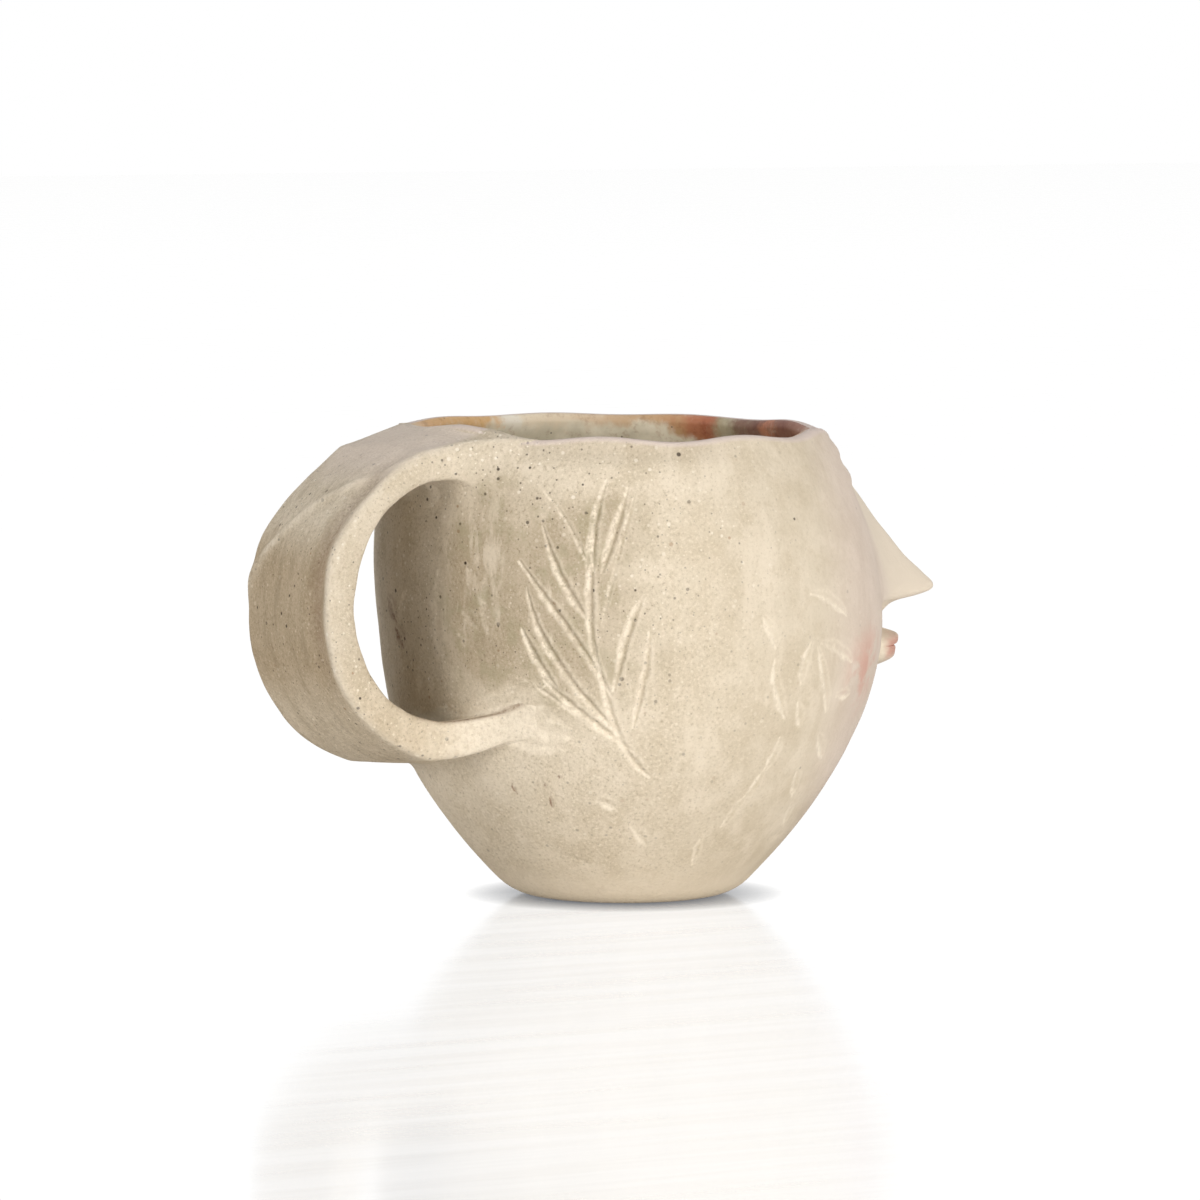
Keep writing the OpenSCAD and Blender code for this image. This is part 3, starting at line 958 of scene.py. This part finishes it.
def glaze_piece():
    """Coat over the inside: up round the lip, down the wall and across the floor."""
    profile = []
    for turn in GLAZE_TURNS:
        profile.append(lip_place(radians(turn), GLAZE_RISE * ease(turn, *GLAZE_EDGE)))
    floor_z = FLOOR_THICKNESS + GLAZE_THICKNESS
    low_z = floor_z + CORNER_HEIGHT
    for row, z in enumerate(heights(LIP_Z, low_z, COAT_ROWS)):
        coat = mix(GLAZE_RISE, GLAZE_THICKNESS, ease(row, 0, THICKENING_ROWS))
        profile.append((cup_radius(z) - wall_level(z) - coat, z))
    low_radius = profile[-1][0]
    for step in range(1, CORNER_STEPS + 1):
        share = step / CORNER_STEPS
        radius = low_radius - CORNER_WIDTH * share
        profile.append((radius, floor_z + (low_z - floor_z) * (1 - share) ** 2))
    last = profile[-1][0]
    profile += [(last * k / FLOOR_RINGS, floor_z) for k in range(FLOOR_RINGS - 1, -1, -1)]
    under = FLOOR_THICKNESS - BACK_SUNK
    profile += [(0.0, under), (BACK_RADIUS, under)]
    for z in heights(FLOOR_THICKNESS + BACK_MARGIN, LIP_Z - BACK_MARGIN, BACK_ROWS):
        profile.append((cup_radius(z) - BACK_SHARE * wall_level(z), z))
    profile.append((cup_radius(LIP_Z) - LIP_HALF, LIP_Z + BACK_TOP))
    bm = spun(profile, GLAZE_STEPS, True)
    for vert in bm.verts:
        angle, z, outward = waved(vert.co)
        vert.co = on_cup(angle, z, max(0.0, cup_radius(z) + outward))
    bmesh.ops.remove_doubles(bm, verts=bm.verts, dist=MERGE_GAP)
    add_piece("glaze_coat", bm, glaze_finish(), "glaze", "glaze_lining")


STRAP_RINGS = 150
SPIN_RADIUS = 1.0


def strap_root(z):
    """Where the strap's middle line meets the wall at a height."""
    return Vector((cup_shift(z) - cup_radius(z) - SLIP, 0, z))


UPPER_ROOT = strap_root(STRAP_HIGH)
LOWER_ROOT = strap_root(STRAP_LOW)
STRAP_FAR = Vector((-STRAP_REACH, 0, STRAP_REACH_HEIGHT))


def strap_line(t):
    """Middle line of the strap: 0 is its upper end, 1 its furthest place, 2 its lower end."""
    root = UPPER_ROOT if t <= 1 else LOWER_ROOT
    t = t if t <= 1 else 2 - t
    a = Vector((mix(root.x, STRAP_FAR.x, STRAP_BEND), 0, root.z))
    b = Vector((STRAP_FAR.x, 0, mix(STRAP_FAR.z, root.z, STRAP_BEND)))
    s = 1 - t
    return root * s ** 3 + a * (3 * s * s * t) + b * (3 * s * t * t) + STRAP_FAR * t ** 3


def strap_out(t):
    """Direction out of the loop."""
    step = 0.01
    along = strap_line(min(2, t + step)) - strap_line(max(0, t - step))
    return Vector((along.z, 0, -along.x)).normalized()


def strap_swell(t):
    """Thickness of the strap at a place, against its thickness at the middle."""
    return 1 + STRAP_SWELL / STRAP_THICKNESS * abs(t - 1) ** SWELL_BEND


def fillet(gap, size):
    """How far a hollow corner of a size spreads at a gap from the wall."""
    near = min(1.0, max(0.0, 1 - gap / size))
    return size * (1 - sqrt(1 - near * near))


# Sizes of the hollow corners where the strap is worked onto the wall: along the near and far edges,
# on the outside and on the inside of the loop, for the upper and the lower end
UPPER_SPREAD = {"near": 9 * MM, "far": 4 * MM, "out": 0.7 * MM, "in": 4.5 * MM}
LOWER_SPREAD = {"near": 13 * MM, "far": 7 * MM, "out": 1.4 * MM, "in": 0.9 * MM}
SMEAR_RISE = 6.5 * MM
SUNK = 0.7 * MM
LIP_SUNK = 2.0 * MM
END_SUNK = 2.4 * MM
SAME_PLACE = 1e-4
WORKED_GAP = 12 * MM
LIP_LAP = 0.1 * MM
TOP_RAMP = 1.3 * MM
RAMP_LENGTH = 11 * MM
SHOULDER_DROP = 1.3 * MM
NEAR_LEAN = 1.6 * MM
STRAP_GROOVE = 1.0 * MM
STRAP_CREST = 0.6 * MM
# Length along the strap that one unit of t stands for in its noise
NOISE_LENGTH = 40 * MM
BREAK_SIZE = 3 * MM
SIDE_CUTS = 35
END_CUTS = 4
LONG_END = 1.8 * MM
EDGE_STEPS = 5
# Painted shadow line in the crease at the lower end, and the pale smear over it: where they lie along,
# through and across the strap
CREASE_SHADOW_ALONG = (1.62, 1.75)
CREASE_SHADOW_THROUGH = (2.5 * MM, 3 * MM)
CREASE_SHADOW_ACROSS = 15.3 * MM
CREASE_SHADOW_HALF = 1.6 * MM
SMEAR_ALONG = (1.74, 1.9)
SMEAR_ACROSS = (6 * MM, 15 * MM)
# How strongly the strap's marks are painted: painted highlights on the crest and the rounded near edge,
# painted shade in the groove and a painted shadow in the crease at the lower end
CREST_HIGHLIGHT = 0.85
EDGE_HIGHLIGHT = 0.4
GROOVE_SHADE = 0.35
CREASE_SHADOW_DARK = 0.6


def strap_marks(t, y, n):
    """(groove beside the near edge, pressed crest, band along the rounded near edge) of the strap's outer
    face, from 0 to 1; the crest and the edge band get painted highlights and the groove painted shade.
    """
    if n < 0:
        return 0.0, 0.0, 0.0
    share = (y + STRAP_WIDTH / 2) / STRAP_WIDTH
    groove = hump(share - 0.16, 0.12) * ease(t, 0.1, 0.4) * ease(1.4 - t, 0, 0.4)
    line = mix(0.08, 0.98, ease(t, 0.2, 0.95))
    crest = hump(share - line, 0.10) * ease(t, 0.12, 0.3) * ease(1.0 - t, 0, 0.15)
    # Band along the rounded near edge, where a highlight is painted
    worn = hump(share - 0.035, 0.045) * ease(n, 1 * MM, 2.5 * MM)
    return groove, crest, worn


def strap_surface(t, y, n):
    """How far the strap's face stands out: dents, groove, crest and the lean of its near edge."""
    groove, crest = strap_marks(t, y, n)[:2]
    lean = 0.0
    if n > 0:
        lean = NEAR_LEAN * ease(-y, 0, STRAP_WIDTH / 2) * ease(t, 0.02, 0.15) * ease(0.8 - t, 0, 0.4)
    pressed = dents(Vector((t * NOISE_LENGTH, y, n * 2)), STRAP_DENTS)
    return pressed - lean - STRAP_GROOVE * groove + STRAP_CREST * crest


def strap_drop(end, upper, y):
    """How far a place across the strap hangs up or down; the upper end leaves the rim level."""
    sag = -STRAP_SAG * y / STRAP_WIDTH
    if not upper:
        return sag
    shoulder = SHOULDER_DROP * hump(end - 0.45, 0.4) * max(0.0, y) / (STRAP_WIDTH / 2)
    return mix(STRAP_SAG / 2, sag - shoulder, ease(end, 0, 0.3))


def strap_place(t, y, n):
    """Place on the strap, worked onto the wall at both ends."""
    upper = t < 1
    spread = UPPER_SPREAD if upper else LOWER_SPREAD
    root_z = STRAP_HIGH if upper else STRAP_LOW
    up = 1 if upper else -1
    end = t if upper else 2 - t
    n = n * strap_swell(t)
    side = Vector((0, y, strap_drop(end, upper, y)))
    lift = strap_surface(t, y, n) * ease(end, 0.02, 0.25)
    thick = n + copysign(1, n) * lift * min(1, abs(n) / (2 * MM))
    free = max(t, STRAP_FIRST) if upper else min(t, 2 - STRAP_FIRST)
    place = strap_line(free) + side
    place += strap_out(free) * thick
    if end < STRAP_FIRST:
        foot_z = root_z + side.z + up * thick
        sunk = mix(SUNK, LIP_SUNK, ease(n, 0, STRAP_THICKNESS / 2)) if upper else SUNK
        if end < SAME_PLACE:
            sunk = END_SUNK
        foot = Vector((wall_behind(y, foot_z) + sunk, y, foot_z))
        place = foot.lerp(place, (end / STRAP_FIRST) ** FOOT_CROWDING)
    gap = wall_behind(place.y, place.z) - place.x
    if gap > WORKED_GAP:
        return place
    edge = spread["near"] if y < 0 else spread["far"]
    wide = fillet(gap, edge) * y / (STRAP_WIDTH / 2)
    face = spread["out"] if n > 0 else spread["in"]
    tall = fillet(gap, face) * up * n / (STRAP_THICKNESS / 2)
    new_y = place.y + wide
    new_z = place.z + tall
    if upper and n > 0:
        ramp = TOP_RAMP * (1 - 0.8 * ease(-y, 4 * MM, 15 * MM))
        new_z += ramp * ease(1 - gap / RAMP_LENGTH, 0, 1) * min(1, n / (STRAP_THICKNESS / 2))
    if not upper and y < 0:
        worked = -wide / edge
        new_z += SMEAR_RISE * worked + 0.4 * n * worked
    if upper:
        new_z = min(new_z, rim_height(pi - asin(new_y / RIM_RADIUS)) + LIP_LAP)
    return Vector((wall_behind(new_y, new_z) - gap, new_y, new_z))


def strap_piece():
    bm = bmesh.new()
    bmesh.ops.create_grid(bm, x_segments=1, y_segments=1, size=0.5)
    bmesh.ops.scale(bm, verts=bm.verts, vec=(STRAP_THICKNESS, STRAP_WIDTH, 1))
    bmesh.ops.bevel(
        bm, geom=bm.verts[:], offset=EDGE_ROUND, offset_type="OFFSET", segments=EDGE_STEPS,
        profile=0.5, affect="VERTICES", material=-1,
    )
    bmesh.ops.delete(bm, geom=bm.faces[:], context="FACES_ONLY")
    for length, cuts in ((STRAP_WIDTH / 2, SIDE_CUTS), (LONG_END, END_CUTS)):
        long_edges = [edge for edge in bm.edges if edge.calc_length() > length]
        bmesh.ops.subdivide_edges(bm, edges=long_edges, cuts=cuts)
    stand = Matrix(((0, 0, 1, 0), (0, 1, 0, 0), (1, 0, 0, SPIN_RADIUS), (0, 0, 0, 1)))
    bmesh.ops.transform(bm, matrix=stand, verts=bm.verts)
    bmesh.ops.spin(
        bm, geom=bm.verts[:] + bm.edges[:], cent=(0, 0, 0), axis=(0, -1, 0),
        angle=pi, steps=STRAP_RINGS,
    )
    pale_layer = bm.verts.layers.float.new("pale")
    dark_layer = bm.verts.layers.float.new("dark")
    for vert in bm.verts:
        turn = atan2(-vert.co.x, vert.co.z)
        turn = min(pi, max(0.0, turn if turn > -0.5 else turn + 2 * pi))
        t = mix(2 * turn / pi, 1 - cos(turn), 0.5)
        n = hypot(vert.co.x, vert.co.z) - SPIN_RADIUS
        if min(t, 2 - t) < SAME_PLACE:
            n = 0.0
        groove, crest, worn = strap_marks(t, vert.co.y, n)
        broken = 0.6 + 0.8 * noise.noise(Vector((t * NOISE_LENGTH, vert.co.y, 0)) / BREAK_SIZE)
        # Painted shadow in the crease between the strap's inside and the lower joint
        crease_shadow = ease(t, *CREASE_SHADOW_ALONG) * ease(-n, *CREASE_SHADOW_THROUGH) * hump(vert.co.y + CREASE_SHADOW_ACROSS, CREASE_SHADOW_HALF)
        tail = ease(t, *SMEAR_ALONG) * ease(-vert.co.y, *SMEAR_ACROSS)
        smeared = tail * (1 - crease_shadow) * min(1.0, 0.4 + broken)
        # Pale smear at the lower end, and painted highlights on the crest and the near edge
        vert[pale_layer] = max(CREST_HIGHLIGHT * crest * broken, EDGE_HIGHLIGHT * worn, smeared)
        # Painted shade in the groove and painted shadow in the crease
        vert[dark_layer] = max(GROOVE_SHADE * groove, CREASE_SHADOW_DARK * crease_shadow)
        vert.co = strap_place(t, vert.co.y, n)
    bmesh.ops.remove_doubles(bm, verts=bm.verts, dist=FINE_MERGE_GAP)
    add_piece("strap_handle", bm, strap_finish(), "handle_clay", "handle_strap")


# Turns of a corner smear from the wall to the strap, in degrees, and how its size wavers along it
COIL_TURNS = (-35, 110)
COIL_WAVER = 0.3
WAVER_LENGTH = 6 * MM


def joint_place(y, share, thick, root_z, t, up, size):
    """Place on the smear between the wall and the strap's inside; up is its side of the strap."""
    corner_z = root_z + strap_drop(0, up < 0, y) + up * STRAP_THICKNESS / 2 * strap_swell(t)
    size = size * (1 + COIL_WAVER * noise.noise(Vector((y / WAVER_LENGTH, 4 * share, 3 * up))))
    turn = radians(mix(*COIL_TURNS, share))
    arc = min(max(turn, 0.0), pi / 2)
    radius = size - thick
    gap = size - radius * cos(arc) + max(0.0, turn - pi / 2) * size
    rise = size - radius * sin(arc) + max(0.0, -turn) * size
    z = corner_z + up * rise
    return Vector((wall_behind(y, z) - gap, y, z))


# Corner coils: size of the corner, near and far end across the strap, and how strongly they are smeared grey
# and lightened as a painted highlight
UPPER_COIL = {"size": 4.5 * MM, "near": -15 * MM, "far": 16.5 * MM, "grey_and_highlight": 0.1}
LOWER_COIL = {"size": 3.2 * MM, "near": -17.5 * MM, "far": 16.5 * MM, "grey_and_highlight": 0.7}
COIL_THIN = -0.35 * MM
COIL_THICK = 0.55 * MM
COIL_BACK = -1.0 * MM
COIL_COLUMNS = 56
COIL_ROWS = 16


def joint_piece(name, node, root_z, t, up, coil):
    """Coil of clay pressed and smeared into an inner corner of the loop."""
    bm = slab(COIL_COLUMNS, COIL_ROWS)
    lightened_layer = bm.verts.layers.float.new("worked")
    for vert in bm.verts:
        y = mix(coil["near"], coil["far"], vert.co.x)
        full = ease(vert.co.x, 0, 0.3) * ease(1 - vert.co.x, 0, 0.2) * sin(pi * vert.co.y)
        # How much of the coil is smeared grey and lightened as a painted highlight
        vert[lightened_layer] = ease(full, 0.45, 0.9)
        thick = mix(COIL_THIN, COIL_THICK, full) if vert.co.z > 0.5 else COIL_BACK
        vert.co = joint_place(y, vert.co.y, thick, root_z, t, up, coil["size"])
    add_piece(name, bm, joint_finish(coil["grey_and_highlight"]), "joint_clay", node)


# Nose profile, from its lower edge up to the bridge: height and how far it stands out, in millimetres
NOSE_PROFILE = (
    (50.2, -0.6), (51.0, 1.4), (52.0, 3.4), (53.4, 4.8), (54.6, 6.4), (55.4, 9.0), (56.0, 12.6), (56.9, 15.2),
    (58.3, 15.5), (60.3, 13.6), (64.5, 9.8), (71.0, 6.0), (77.5, 3.4), (83.5, 1.3), (87.5, -0.5),
)


def curve_at(places, share):
    """Smooth curve through places, by share of their number."""
    last = len(places) - 1
    at = min(last - 1e-6, max(0.0, share * last))
    k = int(at)
    t = at - k
    p0, p1, p2, p3 = (Vector(places[min(last, max(0, k + j))]) for j in (-1, 0, 1, 2))
    return 0.5 * (
        2 * p1 + (p2 - p0) * t + (2 * p0 - 5 * p1 + 4 * p2 - p3) * t * t
        + (3 * p1 - p0 - 3 * p2 + p3) * t ** 3
    )


RIDGE_ROUND = 2.4 * MM
RIDGE_BEND = 3.8


def nose_ridge(across, half):
    """Share of the nose's stand at a place across it: a rounded ridge with hollow sides."""
    away = (hypot(across, RIDGE_ROUND) - RIDGE_ROUND) / half
    return max(0.0, 1 - away) ** RIDGE_BEND


# How wide the nose runs out on the wall, against its own width: at its tip, at its top and at the philtrum
TIP_SPREAD = 2.6
TOP_SPREAD = 2.1
PHILTRUM_SHARE = 0.5
# Heights between which the narrow philtrum widens into the nose
PHILTRUM_SPAN = (51.5 * MM, 56 * MM)
# How far the nose's edge and its back sink into the wall, and how far its ridge stays down for dents
NOSE_SUNK = 0.6 * MM
FACE_SUNK = 1.5 * MM
RIDGE_DOWN = 0.5 * MM
EDGE_BEND = 8
# How far the wings droop, and how tall and wide the droop is on either side of the tip
NOSE_DROOP = 1.2 * MM
DROOP_TALL = 9 * MM
DROOP_WIDE = 11 * MM
NOSE_COLUMNS = 80
NOSE_ROWS = 78
COLUMN_CROWDING = 1.3


def nose_piece():
    bm = slab(NOSE_COLUMNS, NOSE_ROWS)
    lightened_layer = bm.verts.layers.float.new("worked")
    for vert in bm.verts:
        k = 2 * vert.co.x - 1
        z, out = curve_at(NOSE_PROFILE, vert.co.y) * MM
        above = ease(z, NOSE_TIP, NOSE_TOP)
        half = NOSE_WIDTH / 2 * mix(TIP_SPREAD, TOP_SPREAD, above)
        half *= mix(PHILTRUM_SHARE, 1, ease(z, *PHILTRUM_SPAN))
        across = half * signed_power(k, COLUMN_CROWDING)
        if vert.co.z < 0.5:
            vert.co = on_face(across, z, -FACE_SUNK)
            continue
        ridge = nose_ridge(across, half)
        # Share of the nose that gets the painted highlight
        vert[lightened_layer] = ease(ridge, 0.02, 0.3) * ease(out, 0, 3 * MM)
        stand = (out + NOSE_SUNK) * ridge - NOSE_SUNK * (1 - ridge) ** EDGE_BEND - RIDGE_DOWN * ridge
        stand += dents(Vector((across, z, 0)), NOSE_DENTS) * ridge
        droop = NOSE_DROOP * (1 - ridge) * hump(z - NOSE_TIP, DROOP_TALL) * hump(across, DROOP_WIDE)
        vert.co = on_face(across, z - droop, stand)
    add_piece("pointed_nose", bm, nose_finish(), "clay", "nose")


MOUTH_LINE = MOUTH_HEIGHT + 0.8 * MM
LIP_PRESS = 0.12 * MM
LIP_BLUNT = 0.5
LIP_SWELL = 0.85
# Height of a lip at its root and at its edge, against its middle
LIP_ROOT = 1.2
LIP_EDGE = 0.8
ROOT_OUT = 0.5 * MM
LIP_SEGMENTS = 40
LIP_RINGS = 30


def lip_piece(name, node, side, pout, height):
    """Blunt lip; side is 1 above the mouth and -1 below it."""
    bm = bmesh.new()
    bmesh.ops.create_uvsphere(bm, u_segments=LIP_SEGMENTS, v_segments=LIP_RINGS, radius=1)
    for vert in bm.verts:
        across, front, up = vert.co.z, vert.co.x, vert.co.y
        girth = sqrt(max(1e-9, 1 - across * across))
        front = signed_power(front / girth, LIP_BLUNT)
        up = signed_power(up / girth, LIP_BLUNT)
        swell = girth ** LIP_SWELL
        out = mix(-FACE_SUNK, pout * swell, 0.5 + 0.5 * front)
        taper = mix(LIP_ROOT, LIP_EDGE, ease(out, ROOT_OUT, pout))
        rise = height * swell * taper * (0.5 + 0.5 * up)
        z = MOUTH_LINE + side * (rise - LIP_PRESS)
        vert.co = on_face(across * MOUTH_WIDTH / 2, z, out)
    bmesh.ops.remove_doubles(bm, verts=bm.verts, dist=FINE_MERGE_GAP)
    add_piece(name, bm, lip_finish(), "lip_stain", node)


# Stage and light

TABLE_HALF = 6
TABLE_GLOW = 0.975
CONTACT_REACH = 7 * MM
TABLE_ROUGH = 0.13
# Share of the gloss in the table's shine, and how much more of it lies in the streaks
TABLE_POLISH = 0.2
STREAK_POLISH = 0.08
STREAK_TURN = radians(30)


def add_floor():
    """White table that shows a faint reflection and the shade where the foot touches it."""
    white = Finish("white_table", WHITE)
    seen = white.node("ShaderNodeLightPath", {}, {}, "Is Camera Ray")
    shade = white.node("ShaderNodeBsdfDiffuse", {}, {"Color": TABLE_SHADE})
    open_sky = white.node("ShaderNodeAmbientOcclusion", {"samples": 8}, {"Distance": CONTACT_REACH}, "AO")
    tone = white.blend(open_sky, CONTACT_SHADE, WHITE)
    glow = white.node("ShaderNodeEmission", {}, {"Color": tone, "Strength": TABLE_GLOW})
    lit = white.node("ShaderNodeAddShader", {}, {0: shade, 1: glow})
    gloss = white.node("ShaderNodeBsdfGlossy", {}, {"Color": WHITE, "Roughness": TABLE_ROUGH})
    streaks = white.cloud(20, 3, 0.5, white.stretched((0.25, 2.5, 1), STREAK_TURN))
    polish = white.between(streaks, 0.3, 0.7) * STREAK_POLISH + TABLE_POLISH
    shown = white.node("ShaderNodeMixShader", {}, {0: polish, 1: lit, 2: gloss})
    plain = white.node("ShaderNodeBsdfDiffuse", {}, {"Color": TABLE_PLAIN})
    top = white.node("ShaderNodeMixShader", {}, {0: seen, 1: plain, 2: shown})
    white.join(white.tree.nodes["Material Output"].inputs["Surface"], top)
    bm = bmesh.new()
    bmesh.ops.create_grid(bm, x_segments=1, y_segments=1, size=TABLE_HALF)
    table = add_mesh("table", bm, white.material)


# Lamps: name, place, width, power and colour
LAMPS = (
    ("window", (0.14, -1.25, 0.12), 0.7, 7.4, (1.0, 0.985, 0.98)),
    ("table_glow", (0.02, -0.75, 0.02), 0.4, 3.3, (1.0, 0.93, 0.82)),
    ("side_fill", (-1.25, -0.25, 0.30), 0.6, 5.6, (1.0, 0.95, 0.88)),
    ("ceiling", (-0.1, 0.1, 1.3), 1.0, 4.4, (0.97, 0.97, 1.0)),
    ("far_bounce", (0.9, 0.5, 0.2), 0.6, 1.3, (1.0, 0.95, 0.93)),
)
LAMP_AIM = Vector((0, 0, 50 * MM))


def add_lamp(name, place, size, power, colour):
    data = bpy.data.lights.new(name, "AREA")
    data.shape = "DISK"
    data.size = size
    data.energy = power
    data.color = colour
    add_aimed(name, data, place, LAMP_AIM)


AMBIENT = 0.22
WARM_ROOM = (1.0, 0.94, 0.85)


def add_world():
    """White room to the camera and in reflections, and a dim warm one as light."""
    world = bpy.data.worlds.new("white_room")
    bpy.context.scene.world = world
    world.use_nodes = True
    room = Shading(world.node_tree)
    seen = 0.0
    for ray in ("Is Camera Ray", "Is Glossy Ray", "Is Transmission Ray"):
        seen = room.math_node("MAXIMUM", seen, room.node("ShaderNodeLightPath", {}, {}, ray))
    background = room.tree.nodes["Background"]
    room.join(background.inputs["Strength"], seen * (1 - AMBIENT) + AMBIENT)
    room.join(background.inputs["Color"], room.blend(seen, WARM_ROOM, WHITE))


bpy.context.scene.view_settings.view_transform = "Standard"
add_camera()
add_world()
add_floor()
for lamp in LAMPS:
    add_lamp(*lamp)

body_piece()
floor_piece()
glaze_piece()
strap_piece()
joint_piece("upper_corner_smear", "upper_joint", STRAP_HIGH, 0, -1, UPPER_COIL)
joint_piece("lower_corner_smear", "lower_joint", STRAP_LOW, 2, 1, LOWER_COIL)
nose_piece()
lip_piece("upper_mouth_lip", "upper_lip", 1, UPPER_LIP_POUT, UPPER_LIP_HEIGHT)
lip_piece("lower_mouth_lip", "lower_lip", -1, LOWER_LIP_POUT, LOWER_LIP_HEIGHT)
